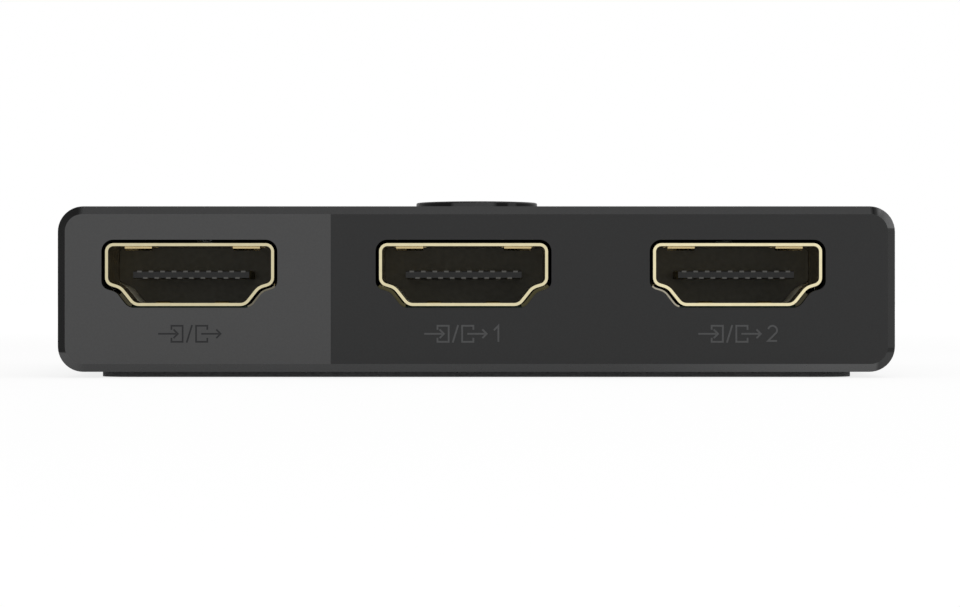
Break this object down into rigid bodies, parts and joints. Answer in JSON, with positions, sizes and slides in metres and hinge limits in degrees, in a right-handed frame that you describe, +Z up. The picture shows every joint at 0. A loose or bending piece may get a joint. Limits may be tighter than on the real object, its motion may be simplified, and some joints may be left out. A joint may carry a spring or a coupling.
{
  "type": "hdmi switch",
  "caption": "Slim desk-top HDMI switch: dark metal sleeve with end panels, a row of gold-rimmed sockets on the front and a round push button on top.",
  "frame": {"origin": "under the middle of the foot pad, on the surface it rests on", "axes": "+X to the viewer's right along the row of sockets, the sockets face -Y, +Z up"},
  "size_m": [0.0724, 0.06, 0.016],
  "materials": {
    "case_metal": "anodised dark grey, satin",
    "panel": "anodised dark grey, satin, with a lighter printed field on the left",
    "rubber": "matte",
    "moulding": "matte",
    "board": "green solder mask",
    "screw": "plated",
    "gold_plate": "pale gold plating",
    "insulator": "matte",
    "contact": "gold plated",
    "button": "satin dark grey",
    "tin_plate": "tin plated",
    "lamp": "clear lens",
    "clear": "milky clear",
    "chip": "matte",
    "ceramic_part": "matte"
  },
  "bodies": {
    "case": {"case_sleeve": "case_metal", "front_panel": "panel", "rear_panel": "panel", "foot_pad": "rubber", "inner_tray": "moulding", "circuit_board": "board", "case_screws": "screw", "board_screws": "screw", "hdmi_shell_left": "gold_plate", "hdmi_shell_centre": "gold_plate", "hdmi_shell_right": "gold_plate", "hdmi_insulator_left": "insulator", "hdmi_insulator_centre": "insulator", "hdmi_insulator_right": "insulator", "hdmi_contacts_left": "contact", "hdmi_contacts_centre": "contact", "hdmi_contacts_right": "contact", "switch_base": "insulator", "switch_cover": "tin_plate", "switch_dome": "tin_plate", "switch_terminals": "tin_plate", "led_left": "lamp", "led_right": "lamp", "light_pipe_left": "clear", "light_pipe_right": "clear", "multiplexer_chip": "chip", "controller_chip": "chip", "voltage_regulator": "chip", "surge_protectors": "chip", "capacitors": "ceramic_part", "resistors": "chip"},
    "button": {"button_cap": "button", "switch_plunger": "insulator"}
  },
  "joints": [
    {"name": "button_press", "type": "slide", "parent": "case", "child": "button", "axis": [0, 0, -1], "range_m": [0, 0.0003], "stiffness_N_per_m": 4000, "springref_m": -0.0002, "deforming": ["switch_dome"]}
  ]
}
